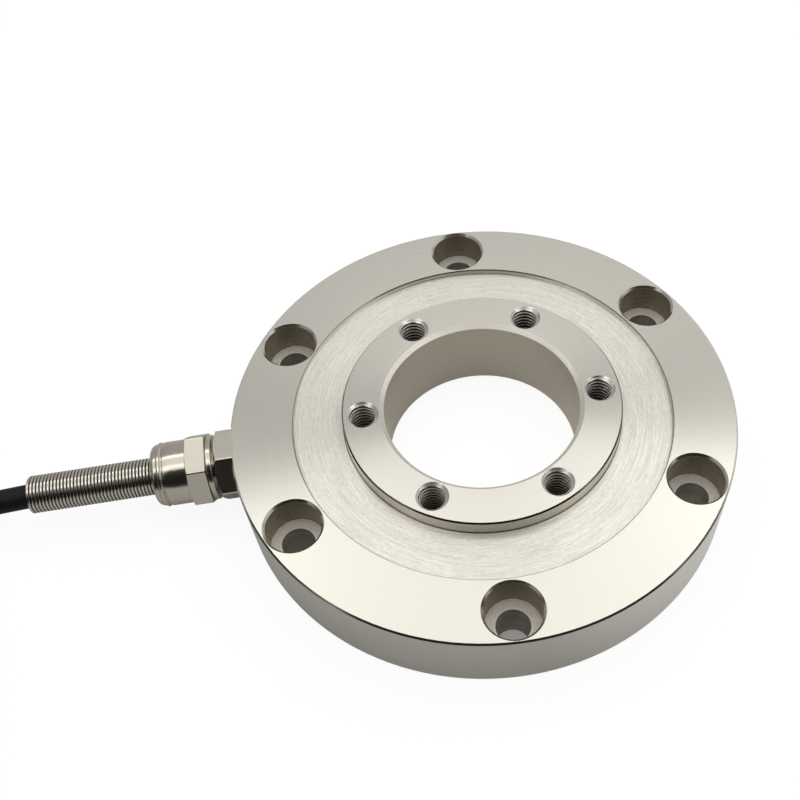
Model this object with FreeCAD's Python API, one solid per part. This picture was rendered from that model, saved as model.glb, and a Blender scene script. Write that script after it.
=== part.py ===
import FreeCAD, Part
import math
import os

from FreeCAD import Placement, Rotation, Vector

# Flange-type ring load cell with a through bore, a radial cable gland and a coiled cable.
# Millimetres and degrees. +Z is up, the origin is the centre of the flange's mounting face,
# and the cable gland points along -X. A place along the gland is its distance from the ring's axis.

# Sensing body, turned from one bar
bore_diameter = 40.0
tap_diameter = 6.0              # tapped holes of the hub, M6
tap_wall = 1.25                 # hub left on each side of a tapped hole
recess_width = 10.25            # from the hub to the flange
counterbore_diameter = 11.0     # for the head of an M6 cap screw
counterbore_wall = 0.875        # flange left on each side of a counterbore
flange_thickness = 16.0
hub_rise = 2.2                  # loading face above the flange's top face
hub_relief = 0.5                # hub's underside above the mounting face
recess_depth = 1.1
recess_edge_chamfer = 0.15
membrane_thickness = 2.5
outer_edge_chamfer = 0.35
hub_edge_chamfer = 0.3
bore_top_chamfer = 0.85
bore_bottom_chamfer = 0.6

# Holes of the sensing body
hole_count = 6
hole_turn = -2.7                # both patterns, turned about Z away from the gland's line
counterbore_depth = 7.0
bolt_clearance_diameter = 6.6
counterbore_chamfer = 0.45
tap_drill_diameter = 5.0
tap_drill_depth = 12.0
tap_thread_depth = 10.0
tap_chamfer = 0.25              # beyond the thread's outer diameter
drill_point_angle = 118.0

# Gauge cavity under the membrane, and the ring that closes it
cavity_inner_web = 1.0          # hub side, beyond the hub's outer wall
cavity_outer_web = 1.75         # flange side, inside the recess's outer wall
cavity_fillet = 0.8
cover_thickness = 0.8
cover_setback = 0.7             # cover's underside above the mounting face
cover_ledge = 1.0
cover_clearance = 0.1

# Strain gauges and the board they are wired to
gauge_pairs = 4
gauge_length = 1.8              # along the radius
gauge_width = 2.4
gauge_thickness = 0.15
gauge_turn = 45.0               # first pair, away from the line of the gland
board_angle = 48.0
board_side_clearance = 1.0
board_thickness = 1.0
pad_thickness = 0.6
pad_inset = 0.6
resistor_length = 2.4
resistor_width = 1.3
resistor_height = 0.7
resistor_spacing = 7.0          # degrees along the board
resistor_turn = 9.0             # first one, away from the line of the gland
resistor_count = 3

# Cable gland
gland_drop = 6.4                # its axis below the flange's top face
shank_diameter = 8.0
shank_length = 8.0
thread_clearance = 0.1
wire_passage_diameter = 4.0
spot_face_depth = 0.45
spot_face_clearance = 0.2
body_across_flats = 13.2
body_corner_diameter = 15.1
body_hex_length = 3.95
body_face_diameter = 13.0       # where the turned cone on the hexagon's corners ends
body_hex_chamfer = 0.6          # along the axis at the corners
body_hex_turn = -4.8
body_thread_diameter = 9.6
body_thread_length = 6.0
nut_gap = 0.5                   # neck left between the body's hexagon and the nut
nut_wall_clearance = 0.2
collar_diameter = 13.3
collar_length = 1.2
collar_round_share = 0.25       # of its length, taken up by the rounding of each edge
nut_across_flats = 13.7
nut_corner_diameter = 15.7
nut_hex_length = 3.95
nut_face_diameter = 13.5
nut_hex_chamfer = 0.3
nut_hex_turn = 9.3
barrel_diameter = 13.1
barrel_length = 4.85
bead_diameter = 13.2
bead_length = 1.1
bead_groove = 0.35
bead_rounding = 0.25
bead_step = 0.3                 # from the bead down to the nose
nose_length = 1.3
nose_rounding = 1.15
nose_wall = 2.9                 # from the inner shoulder to the mouth
washer_thickness = 0.6
sleeve_clearance = 0.1          # seal and washer in the nut

# Strain-relief spring, close wound
spring_diameter = 7.7
spring_wire = 0.9
spring_turns = 33
spring_end_diameter = 9.0       # last turn, trapped behind the nut's shoulder
spring_mouth_clearance = 0.2

# Cable: four cores in a round jacket, about three metres of it
cable_diameter = 5.0
cable_clearance = 0.2           # jacket in the gland's bore
seal_clearance = 0.05
jacket_inset = 3.5              # jacket's end, beyond the inner end of the gland
core_diameter = 1.0
core_spacing = 1.2
core_bend_radius = 2.0
run_bend_share = 0.45           # of the shorter run, taken up by a bend
first_bend_x = -97.0
second_bend_x = -126.5
second_bend_z = 5.0
coil_start_x = -148.0

# Coil of the length that is put away, its tie and its bare end
coil_columns = 4
coil_layers = 4
coil_mean_diameter = 57.5
tie_thickness = 1.0
tie_width = 3.6
tie_clearance = 0.3
tie_turn = 235.0
tie_head_length = 5.0
tie_head_height = 3.4
tie_head_overhang = 0.7
tail_start_turn = -10.0
tail_turn = 50.0
tail_inset = 5.0                # tail's turn inside the coil's outer turn
lead_diameter = 1.2
lead_spacing = 1.35
lead_length = 34.0
lead_step = 2.5                 # each lead is cut this much shorter than the last
lead_colours = ("red", "black", "green", "white")

# Sizes that follow from those
bore_radius = bore_diameter / 2
tap_circle_radius = bore_radius + tap_wall + tap_diameter / 2
hub_radius = tap_circle_radius + tap_diameter / 2 + tap_wall
recess_radius = hub_radius + recess_width
bolt_circle_radius = recess_radius + counterbore_wall + counterbore_diameter / 2
outer_radius = bolt_circle_radius + counterbore_diameter / 2 + counterbore_wall
hub_top = flange_thickness + hub_rise
recess_floor = flange_thickness - recess_depth
hole_step = 360.0 / hole_count

cavity_inner_radius = hub_radius + cavity_inner_web
cavity_outer_radius = recess_radius - cavity_outer_web
cavity_top = recess_floor - membrane_thickness
cover_top = cover_setback + cover_thickness
board_inner_radius = cavity_inner_radius + board_side_clearance
board_outer_radius = cavity_outer_radius - board_side_clearance
board_radius = (board_inner_radius + board_outer_radius) / 2
board_bottom = cover_top + pad_thickness
board_top = board_bottom + board_thickness

gland_height = flange_thickness - gland_drop
gland_seat = outer_radius - spot_face_depth
shank_end = gland_seat - shank_length
jacket_end = shank_end + jacket_inset
body_hex_end = gland_seat + body_hex_length
body_end = body_hex_end + body_thread_length
nut_start = body_hex_end + nut_gap
collar_end = nut_start + collar_length
nut_hex_end = collar_end + nut_hex_length
barrel_end = nut_hex_end + barrel_length
bead_end = barrel_end + bead_length
nut_mouth = bead_end + nose_length
nut_shoulder = nut_mouth - nose_wall
spring_start = nut_shoulder - spring_wire
spring_end = spring_start + spring_wire * spring_turns
washer_start = spring_start - washer_thickness
gland_bore_radius = cable_diameter / 2 + cable_clearance
nut_bore_radius = body_thread_diameter / 2 + nut_wall_clearance
sleeve_radius = nut_bore_radius - sleeve_clearance
mouth_radius = spring_diameter / 2 + spring_mouth_clearance

coil_base = tie_thickness + tie_clearance
coil_top = coil_base + coil_layers * cable_diameter
coil_outer_turn = (coil_mean_diameter + (coil_columns - 1) * cable_diameter) / 2
coil_inner_turn = (coil_mean_diameter - (coil_columns - 1) * cable_diameter) / 2
coil_outer_radius = coil_outer_turn + cable_diameter / 2
coil_inner_radius = coil_inner_turn - cable_diameter / 2
coil_centre = Vector(coil_start_x, -coil_outer_turn, 0)
tail_radius = coil_outer_turn - tail_inset

z_axis = Vector(0, 0, 1)
origin = Vector(0, 0, 0)
parts = {}


def corner_arc(before, point, after, radius):
    """Start, middle and end of the arc that rounds one corner of a path."""
    to_before = (before - point).normalize()
    to_after = (after - point).normalize()
    half_angle = to_before.getAngle(to_after) / 2
    reach = radius / math.tan(half_angle)
    inward = (to_before + to_after).normalize()
    middle = point + inward * (radius / math.sin(half_angle) - radius)
    return point + to_before * reach, middle, point + to_after * reach


def rounded_wire(points, radii, closed):
    """Straight runs through the points, joined by tangent arcs where a radius is given."""
    count = len(points)
    corners = []
    for index in range(count):
        inner = closed or 0 < index < count - 1
        if inner and radii[index] > 0:
            following = points[(index + 1) % count]
            corners.append(corner_arc(points[index - 1], points[index], following, radii[index]))
        else:
            corners.append((points[index],))
    edges = []
    for index in range(count):
        if len(corners[index]) == 3:
            edges.append(Part.Arc(*corners[index]).toShape())
        if closed or index < count - 1:
            start = corners[index][-1]
            end = corners[(index + 1) % count][0]
            edges.append(Part.LineSegment(start, end).toShape())
    return Part.Wire(edges)


def turned(profile):
    """Solid turned about Z from (radius, height) corners, each with an optional rounding radius."""
    points = [Vector(corner[0], 0, corner[1]) for corner in profile]
    radii = [corner[2] if len(corner) > 2 else 0 for corner in profile]
    return Part.Face(rounded_wire(points, radii, True)).revolve(origin, z_axis, 360)


def to_gland(shape):
    """Lay a shape that was built up along Z onto the gland's axis, pointing along -X."""
    placed = shape.copy()
    placed.Placement = Placement(Vector(0, 0, gland_height), Rotation(Vector(0, 1, 0), -90))
    return placed


def turned_about_z(shape, angle, centre=origin):
    """A copy of a shape, turned about a vertical line."""
    copy = shape.copy()
    copy.rotate(centre, z_axis, angle)
    return copy


def hexagon(across_flats, outline, turn):
    """Hexagon bar of the gland, turned down to an outline of (radius, place) points."""
    start = outline[0][1]
    end = outline[-1][1]
    corner_radius = across_flats / 2 / math.cos(math.radians(30))
    corners = []
    for index in range(7):
        # The bar is laid along -X later, where its local +X points up and +Y stays +Y.
        angle = math.radians(turn + 60 * index)
        corners.append(Vector(corner_radius * math.sin(angle), corner_radius * math.cos(angle), start))
    bar = Part.Face(Part.makePolygon(corners)).extrude(Vector(0, 0, end - start))
    return bar.common(turned([(0, start)] + outline + [(0, end)]))


def tube(path, diameter):
    """Round rod swept along a path that starts with a straight run."""
    first = path.Edges[0]
    start = first.valueAt(first.FirstParameter)
    section = Part.Wire(Part.Circle(start, first.tangentAt(first.FirstParameter), diameter / 2).toShape())
    return path.makePipeShell([section], True, False)


def arc_band(inner, outer, bottom, top, angle, turn):
    """Part of a flat ring, centred on a direction about Z."""
    ring = Part.makeCylinder(outer, top - bottom, Vector(0, 0, bottom), z_axis, angle)
    ring = ring.cut(Part.makeCylinder(inner, top - bottom, Vector(0, 0, bottom), z_axis, angle))
    return turned_about_z(ring, turn - angle / 2)


# Sensing body
def counterbored_hole():
    """Clearance hole with a chamfered counterbore, to be cut from the flange."""
    chamfer_radius = counterbore_diameter / 2 + counterbore_chamfer
    floor = flange_thickness - counterbore_depth
    return turned([
        (0, 0),
        (bolt_clearance_diameter / 2, 0),
        (bolt_clearance_diameter / 2, floor),
        (counterbore_diameter / 2, floor),
        (counterbore_diameter / 2, flange_thickness - counterbore_chamfer),
        (chamfer_radius, flange_thickness),
        (0, flange_thickness),
    ])


def tapped_hole():
    """Blind hole at the thread's outer diameter, above its tap drill, to be cut from the hub."""
    drill_radius = tap_drill_diameter / 2
    thread_radius = tap_diameter / 2
    drill_bottom = hub_top - tap_drill_depth
    thread_bottom = hub_top - tap_thread_depth
    point_depth = drill_radius / math.tan(math.radians(drill_point_angle / 2))
    return turned([
        (0, drill_bottom - point_depth),
        (drill_radius, drill_bottom),
        (drill_radius, thread_bottom),
        (thread_radius, thread_bottom),
        (thread_radius, hub_top - tap_chamfer),
        (thread_radius + tap_chamfer, hub_top),
        (0, hub_top),
    ])


def gland_hole():
    """Spot face, tapped hole and wire passage that take the gland, out to the flange's wall."""
    spot_radius = body_corner_diameter / 2 + spot_face_clearance
    shank_radius = shank_diameter / 2 + thread_clearance
    return to_gland(turned([
        (0, cavity_outer_radius - cavity_fillet),
        (wire_passage_diameter / 2, cavity_outer_radius - cavity_fillet),
        (wire_passage_diameter / 2, shank_end),
        (shank_radius, shank_end),
        (shank_radius, gland_seat),
        (spot_radius, gland_seat),
        (spot_radius, outer_radius),
        (0, outer_radius),
    ]))


def sensing_body():
    """Flange, membrane and hub in one piece, with its holes."""
    ledge_inner = cavity_inner_radius - cover_ledge
    ledge_outer = cavity_outer_radius + cover_ledge
    body = turned([
        (bore_radius + bore_bottom_chamfer, hub_relief),
        (ledge_inner, hub_relief),
        (ledge_inner, cover_top),
        (cavity_inner_radius, cover_top),
        (cavity_inner_radius, cavity_top, cavity_fillet),
        (cavity_outer_radius, cavity_top, cavity_fillet),
        (cavity_outer_radius, cover_top),
        (ledge_outer, cover_top),
        (ledge_outer, 0),
        (outer_radius - outer_edge_chamfer, 0),
        (outer_radius, outer_edge_chamfer),
        (outer_radius, flange_thickness - outer_edge_chamfer),
        (outer_radius - outer_edge_chamfer, flange_thickness),
        (recess_radius + recess_edge_chamfer, flange_thickness),
        (recess_radius, flange_thickness - recess_edge_chamfer),
        (recess_radius, recess_floor),
        (hub_radius, recess_floor),
        (hub_radius, hub_top - hub_edge_chamfer),
        (hub_radius - hub_edge_chamfer, hub_top),
        (bore_radius + bore_top_chamfer, hub_top),
        (bore_radius, hub_top - bore_top_chamfer),
        (bore_radius, hub_relief + bore_bottom_chamfer),
    ])
    bolt_hole = counterbored_hole()
    bolt_hole.translate(Vector(bolt_circle_radius, 0, 0))
    tap_hole = tapped_hole()
    tap_hole.translate(Vector(tap_circle_radius, 0, 0))
    holes = [gland_hole()]
    for index in range(hole_count):
        angle = hole_turn + hole_step * index
        holes.append(turned_about_z(tap_hole, angle))
        holes.append(turned_about_z(bolt_hole, angle + hole_step / 2))
    return body.cut(holes)


def cover_ring():
    """Thin ring on the ledges under the gauge cavity."""
    inner = cavity_inner_radius - cover_ledge + cover_clearance
    outer = cavity_outer_radius + cover_ledge - cover_clearance
    return turned([(inner, cover_setback), (outer, cover_setback), (outer, cover_top), (inner, cover_top)])


parts["sensing_body"] = sensing_body()
parts["cover_ring"] = cover_ring()


# Strain gauges, bonded to the membrane's underside in radial pairs
def gauge(inner_end, angle):
    """One foil gauge, from its inner end outwards."""
    corner = Vector(inner_end, -gauge_width / 2, cavity_top - gauge_thickness)
    return turned_about_z(Part.makeBox(gauge_length, gauge_width, gauge_thickness, corner), angle)


for pair in range(gauge_pairs):
    pair_angle = 180 + gauge_turn + 360 / gauge_pairs * pair
    parts[f"gauge_inner_{pair + 1}"] = gauge(cavity_inner_radius + cavity_fillet, pair_angle)
    outer_gauge_start = cavity_outer_radius - cavity_fillet - gauge_length
    parts[f"gauge_outer_{pair + 1}"] = gauge(outer_gauge_start, pair_angle)


# Bridge board on the cover, below the wire passage
def trim_resistor(index):
    """One chip resistor on the board, across the radius."""
    corner = Vector(board_radius - resistor_width / 2, -resistor_length / 2, board_top)
    chip = Part.makeBox(resistor_width, resistor_length, resistor_height, corner)
    return turned_about_z(chip, 180 + resistor_turn + resistor_spacing * index)


pad_angle = board_angle - 2 * math.degrees(pad_inset / board_radius)
parts["board_pad"] = arc_band(
    board_inner_radius + pad_inset, board_outer_radius - pad_inset, cover_top, board_bottom, pad_angle, 180)
parts["terminal_board"] = arc_band(
    board_inner_radius, board_outer_radius, board_bottom, board_top, board_angle, 180)
for chip_index in range(resistor_count):
    parts[f"trim_resistor_{chip_index + 1}"] = trim_resistor(chip_index)


# Cores from the jacket's end, through the wire passage, down to the board
def core(across, above):
    """One core, offset across and above the gland's axis; the upper ones land nearer the hub."""
    landing = -(board_radius - above)
    height = gland_height + above
    points = [
        Vector(-jacket_end, across, height),
        Vector(landing, across, height),
        Vector(landing, across, board_top),
    ]
    return tube(rounded_wire(points, [0, core_bend_radius, 0], False), core_diameter)


for index, colour in enumerate(lead_colours):
    side = -1 if index % 2 else 1
    level = 1 if index < 2 else -1
    parts[f"core_{colour}"] = core(side * core_spacing / 2, level * core_spacing / 2)


# Cable gland
def gland_body():
    """Threaded shank, hexagon and male thread for the nut, bored for the cable."""
    corner_radius = body_corner_diameter / 2
    hex_bar = hexagon(body_across_flats, [
        (corner_radius, gland_seat),
        (corner_radius, body_hex_end - body_hex_chamfer),
        (body_face_diameter / 2, body_hex_end),
    ], body_hex_turn)
    shaft = turned([
        (0, shank_end),
        (shank_diameter / 2, shank_end),
        (shank_diameter / 2, gland_seat),
        (body_thread_diameter / 2, gland_seat),
        (body_thread_diameter / 2, body_end),
        (0, body_end),
    ])
    bore = turned([
        (0, shank_end),
        (wire_passage_diameter / 2, shank_end),
        (wire_passage_diameter / 2, jacket_end),
        (gland_bore_radius, jacket_end),
        (gland_bore_radius, body_end),
        (0, body_end),
    ])
    return to_gland(hex_bar.fuse(shaft).cut(bore).removeSplitter())


def gland_nut():
    """Clamping nut: rounded collar, hexagon, round barrel, bead and rounded nose."""
    collar_rounding = collar_length * collar_round_share
    outside = turned([
        (0, nut_start),
        (collar_diameter / 2, nut_start, collar_rounding),
        (collar_diameter / 2, collar_end, collar_rounding),
        (barrel_diameter / 2 - collar_rounding, collar_end),
        (barrel_diameter / 2 - collar_rounding, nut_hex_end),
        (barrel_diameter / 2, nut_hex_end),
        (barrel_diameter / 2, barrel_end - bead_groove),
        (barrel_diameter / 2 - bead_groove, barrel_end),
        (bead_diameter / 2, barrel_end + bead_groove),
        (bead_diameter / 2, bead_end, bead_rounding),
        (bead_diameter / 2 - bead_step, bead_end),
        (bead_diameter / 2 - bead_step, nut_mouth, nose_rounding),
        (0, nut_mouth),
    ])
    inside = turned([
        (0, nut_start),
        (nut_bore_radius, nut_start),
        (nut_bore_radius, nut_shoulder),
        (mouth_radius, nut_shoulder),
        (mouth_radius, nut_mouth),
        (0, nut_mouth),
    ])
    corner_radius = nut_corner_diameter / 2
    hex_bar = hexagon(nut_across_flats, [
        (corner_radius, collar_end),
        (corner_radius, nut_hex_end - nut_hex_chamfer),
        (nut_face_diameter / 2, nut_hex_end),
    ], nut_hex_turn)
    return to_gland(outside.fuse(hex_bar).cut(inside).removeSplitter())


def sleeve(inner, outer, start, end):
    """Plain ring on the gland's axis."""
    return to_gland(turned([(inner, start), (outer, start), (outer, end), (inner, end)]))


parts["gland_body"] = gland_body()
parts["gland_nut"] = gland_nut()
parts["gland_seal"] = sleeve(cable_diameter / 2 + seal_clearance, sleeve_radius, body_end, washer_start)
parts["gland_washer"] = sleeve(gland_bore_radius, sleeve_radius, washer_start, spring_start)


# Strain-relief spring, each close-wound turn drawn as one ring of its wire
def strain_relief_spring():
    """Comb of half-round turns on a common bore, with one wide turn that the nut traps."""
    inner = spring_diameter / 2 - spring_wire
    middle = spring_diameter / 2 - spring_wire / 2
    edges = []
    for turn in range(spring_turns):
        start = spring_start + spring_wire * turn
        reach = spring_end_diameter / 2 if turn == 0 else spring_diameter / 2
        centre_radius = reach - spring_wire / 2
        low = Vector(centre_radius, 0, start)
        high = Vector(centre_radius, 0, start + spring_wire)
        edges.append(Part.Arc(low, Vector(reach, 0, start + spring_wire / 2), high).toShape())
        if turn == 0:
            edges.append(Part.LineSegment(high, Vector(middle, 0, start + spring_wire)).toShape())
    foot = Vector(spring_end_diameter / 2 - spring_wire / 2, 0, spring_start)
    far_end = [Vector(middle, 0, spring_end), Vector(inner, 0, spring_end)]
    corners = far_end + [Vector(inner, 0, spring_start), foot]
    for start, end in zip(corners, corners[1:]):
        edges.append(Part.LineSegment(start, end).toShape())
    comb = Part.Face(Part.Wire(edges))
    return to_gland(comb.revolve(origin, z_axis, 360))


parts["strain_relief_spring"] = strain_relief_spring()

# Cable: the clamped stretch, the free run to the coil, and the coil
coil_start_z = coil_base + cable_diameter / 2
route = [
    Vector(-nut_mouth, 0, gland_height),
    Vector(first_bend_x, 0, gland_height),
    Vector(second_bend_x, 0, second_bend_z),
    Vector(coil_start_x, 0, coil_start_z),
]


def run_radii(points):
    """Largest bend that the two runs beside each point allow."""
    radii = [0] * len(points)
    for index in range(1, len(points) - 1):
        back = points[index - 1] - points[index]
        ahead = points[index + 1] - points[index]
        half_turn = (math.pi - back.getAngle(ahead)) / 2
        radii[index] = run_bend_share * min(back.Length, ahead.Length) / math.tan(half_turn)
    return radii


def cable_coil():
    """Outer shape of the wound cable: a ring whose edges are as round as the cable."""
    edge = cable_diameter / 2
    ring = turned([
        (coil_inner_radius, coil_base, edge),
        (coil_outer_radius, coil_base, edge),
        (coil_outer_radius, coil_top, edge),
        (coil_inner_radius, coil_top, edge),
    ])
    ring.translate(coil_centre)
    return ring


def coil_arc(radius, height, start_turn, length, diameter):
    """Rod that follows the coil on top of it, from a direction about the coil's centre."""
    sweep = math.radians(start_turn) + length / radius
    angles = (math.radians(start_turn), (math.radians(start_turn) + sweep) / 2, sweep)
    points = [coil_centre + Vector(radius * math.cos(a), radius * math.sin(a), height) for a in angles]
    return tube(Part.Wire(Part.Arc(*points).toShape()), diameter)


def coil_tie():
    """Flat strap round the coil's section, with its head on the outside."""
    inner = coil_inner_radius - tie_clearance
    outer = coil_outer_radius + tie_clearance
    top = coil_top + tie_clearance
    inner_corners = [(inner, tie_thickness), (outer, tie_thickness), (outer, top), (inner, top)]
    inside, outside = inner - tie_thickness, outer + tie_thickness
    crown = top + tie_thickness
    outer_corners = [(inside, 0), (outside, 0), (outside, crown), (inside, crown)]
    edge = cable_diameter / 2
    faces = []
    for corners, radius in ((outer_corners, edge + tie_thickness), (inner_corners, edge)):
        points = [Vector(r, -tie_width / 2, z) for r, z in corners]
        faces.append(Part.Face(rounded_wire(points, [radius] * 4, True)))
    strap = faces[0].cut(faces[1]).extrude(Vector(0, tie_width, 0))
    head_width = tie_width + 2 * tie_head_overhang
    head_corner = Vector(outside, -head_width / 2, (coil_base + coil_top - tie_head_length) / 2)
    head = Part.makeBox(tie_head_height, head_width, tie_head_length, head_corner)
    tie = turned_about_z(strap.fuse(head).removeSplitter(), tie_turn)
    tie.translate(coil_centre)
    return tie


radii = run_radii(route)
free_path = rounded_wire(route, radii, False)
free_run = tube(free_path, cable_diameter)
print("cable bend radii", [round(radius, 1) for radius in radii[1:-1]])
print("cable volume", round(free_run.Volume), "section times length",
      round(free_path.Length * math.pi * cable_diameter ** 2 / 4))

parts["cable_coil"] = cable_coil()
parts["cable_entry"] = to_gland(
    Part.makeCylinder(cable_diameter / 2, nut_mouth - jacket_end, Vector(0, 0, jacket_end)))
parts["cable"] = free_run.cut(parts["cable_coil"])
tail_length = tail_radius * math.radians(tail_turn)
parts["cable_tail"] = coil_arc(
    tail_radius, coil_top + cable_diameter / 2, tail_start_turn, tail_length, cable_diameter)
parts["coil_tie"] = coil_tie()

# Bare leads beyond the jacket's far end: three on the coil and two on top of them
lead_places = [(-1, 0), (0, 0), (1, 0), (-0.5, 1), (0.5, 1)]
row_rise = lead_spacing * math.cos(math.radians(30))
for index, name in enumerate(lead_colours + ("shield",)):
    column, row = lead_places[index]
    parts[f"lead_{name}"] = coil_arc(
        tail_radius + column * lead_spacing,
        coil_top + lead_diameter / 2 + row * row_rise,
        tail_start_turn + tail_turn,
        lead_length - lead_step * index,
        lead_diameter)

os.makedirs("parts", exist_ok=True)
for name, shape in parts.items():
    shape.exportStep(f"parts/{name}.step")
    print(name, "solids", len(shape.Solids), "valid", shape.isValid(), "mm3", round(shape.Volume, 2))
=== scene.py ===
# %% [markdown]
# # A flange-type ring load cell
# The real thing is a ring of nickel-plated steel, turned from one bar. It is bolted down through the six
# deep holes of its flange and loaded through the six tapped holes of its raised hub. A cable leaves it
# through a gland with a close-wound spring.
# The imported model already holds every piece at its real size, so this lesson only adds what the eye sees:
# smooth skins, threads, wound wire, the cable at its full length, finishes and light.

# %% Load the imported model
import bmesh
import bpy
import numpy as np
from mathutils import Matrix


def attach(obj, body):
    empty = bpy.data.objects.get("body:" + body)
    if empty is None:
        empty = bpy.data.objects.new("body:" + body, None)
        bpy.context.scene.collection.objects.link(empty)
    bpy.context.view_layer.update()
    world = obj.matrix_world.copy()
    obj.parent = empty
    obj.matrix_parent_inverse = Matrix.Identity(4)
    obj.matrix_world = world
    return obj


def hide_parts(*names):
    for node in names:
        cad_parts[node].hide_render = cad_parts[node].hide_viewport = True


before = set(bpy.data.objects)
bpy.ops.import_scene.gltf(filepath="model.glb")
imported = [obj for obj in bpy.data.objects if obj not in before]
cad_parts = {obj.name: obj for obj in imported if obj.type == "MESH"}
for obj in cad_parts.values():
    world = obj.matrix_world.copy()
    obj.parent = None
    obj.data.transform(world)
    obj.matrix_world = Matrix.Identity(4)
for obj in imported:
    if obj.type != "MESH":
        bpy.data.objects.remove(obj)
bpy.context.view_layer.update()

MM = 0.001
print("nodes in the packed model:", len(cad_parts))

# %% [markdown]
# ## The camera
# A portrait is matched most easily when its camera is settled before anything else. The camera stands on a
# sphere round the middle of the flange's top face: an azimuth, an elevation and a roll turn it, a distance
# and two small offsets place it. The lens and the shift come from the picture's perspective: the far holes
# are drawn smaller than the near ones by an amount that only one focal length gives.

# %% Camera
flange_top = 16.0
azimuth, elevation, roll = np.radians([-6.39, 53.891, -3.489])
camera_distance = 207.99
camera_aside, camera_above = -4.463, -0.472

flat_right = np.array([np.cos(azimuth), np.sin(azimuth), 0])
flat_back = np.array([np.sin(azimuth), -np.cos(azimuth), 0])
towards = flat_back * np.cos(elevation) + np.array([0, 0, np.sin(elevation)])
flat_up = np.cross(towards, flat_right)
camera_right = flat_right * np.cos(roll) + flat_up * np.sin(roll)
camera_up = flat_up * np.cos(roll) - flat_right * np.sin(roll)
on_the_sphere = np.array([0, 0, flange_top]) + camera_distance * towards
camera_place = on_the_sphere + camera_aside * camera_right + camera_above * camera_up

lens = bpy.data.cameras.new("portrait")
lens.sensor_width = 36
lens.lens = 45.73
lens.shift_x = -0.075
lens.shift_y = 0.0125
lens.clip_start = 0.01
camera = bpy.data.objects.new("portrait", lens)
turn = np.stack([camera_right, camera_up, towards, camera_place * MM], axis=1)
camera.matrix_world = Matrix(np.vstack([turn, [0, 0, 0, 1]]).tolist())
bpy.context.scene.collection.objects.link(camera)
bpy.context.scene.camera = camera
print("camera stands at", np.round(camera_place, 1), "mm")

# %% [markdown]
# ## The cable
# Such a cell comes with about three metres of round four-core cable, and all but the first few centimetres
# is wound up and tied. A cable is one smooth curve, so it is one NURBS spline with a round bevel. Its first
# points are the route from the gland to the coil. The coil is wound layer by layer: out to in, one turn that
# climbs over its neighbour, in to out, and so on. A climbing turn keeps one diameter from the turn that it
# leaves when it rises by d times the root of 1 - (1 - f) squared, where f is the part of the turn made.

# %% Cable route and coil
cable_diameter = 5.0
gland_height = 9.6
jacket_end, gland_mouth, first_bend = -46.55, -67.9, -97
coil_start = (-148, 0, 3.8)
coil_radius = 36.25
coil_centre = np.array([coil_start[0], -coil_radius, 0])
points_per_turn = 24
straight = [(x, 0, gland_height) for x in (jacket_end, gland_mouth, first_bend)]
route = [*straight, (-126.5, 0, 5), coil_start]

# Each stage of the winding: turns, columns moved outwards, layers climbed.
inward, outward, climb = (3, -3, 0), (3, 3, 0), (1, 0, 1)
onto_the_coil, tail = (44 / 360, -1, 1), (50 / 360, 0, 0)
winding = [(0.6, 0, 0), inward, climb, outward, climb, inward, climb, outward, onto_the_coil, tail]

angle, ring_radius, height = np.pi / 2, coil_radius, coil_start[2]
coil = []
for turns, columns, layers in winding:
    share = np.linspace(0, 1, max(4, round(turns * points_per_turn)) + 1)[1:]
    turned = angle + 2 * np.pi * turns * share
    out = ring_radius + cable_diameter * columns * share
    up = height + cable_diameter * layers * np.sqrt(1 - (1 - share) ** 2)
    coil.append(coil_centre + np.stack([out * np.cos(turned), out * np.sin(turned), up], axis=1))
    angle, ring_radius, height = turned[-1], out[-1], up[-1]
tail_angle, tail_radius = angle % (2 * np.pi), ring_radius
cable_points = np.vstack([route] + coil) * MM
print("cable control points:", len(cable_points))

# %% Cable curve
cable_curve = bpy.data.curves.new("cable_jacket", "CURVE")
cable_curve.dimensions = "3D"
cable_curve.bevel_depth = 1.0   # times the radius of each point
cable_curve.bevel_resolution = 5
cable_curve.resolution_u = 5
cable_curve.use_fill_caps = True
spline = cable_curve.splines.new("NURBS")
spline.points.add(len(cable_points) - 1)
spline.points.foreach_set("co", np.hstack([cable_points, np.ones((len(cable_points), 1))]).ravel())
spline.points.foreach_set("radius", np.full(len(cable_points), cable_diameter / 2 * MM))
spline.order_u = 3
spline.use_endpoint_u = True
cable = bpy.data.objects.new("cable_jacket", cable_curve)
bpy.context.scene.collection.objects.link(cable)
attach(cable, "root")
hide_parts("cable_entry", "cable", "cable_coil", "cable_tail")
print("cable length:", round(spline.calc_length(), 3), "m")

# %% [markdown]
# ## From arrays to meshes
# Every new piece below is worked out as a grid of points: rows along a profile, columns round an axis. One
# helper turns such a grid into quads. A closed grid has a volume, and its sign tells whether the faces point
# outwards, so the helper turns them round where they don't.

# %% Grid surface helper
def grid_mesh(name, points):
    """Quads over a grid of points (rows, columns, 3), closed in both directions.
    The point in row i and column j joins its neighbours in row i + 1 and column j + 1, and the last row and
    column join the first. The volume is the sum of p . (q x r) / 6 over the triangles p, q, r."""
    rows, columns = points.shape[:2]
    index = np.arange(rows * columns).reshape(rows, columns)
    beside = np.roll(index, -1, axis=1)
    below = np.roll(index, -1, axis=0)
    beyond = np.roll(beside, -1, axis=0)
    quads = np.stack([index, below, beyond, beside], axis=-1).reshape(-1, 4)
    places = points.reshape(-1, 3)
    p, q, r, s = (places[quads[:, corner]] for corner in range(4))
    volume = np.sum(p * np.cross(q, r) + p * np.cross(r, s)) / 6
    if volume < 0:
        quads = quads[:, ::-1]
    mesh = bpy.data.meshes.new(name)
    mesh.from_pydata(places.tolist(), [], quads.tolist())
    print(f"{name}: {2 * len(quads)} triangles, {abs(volume) / MM ** 3:.1f} mm3")
    return mesh


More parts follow.
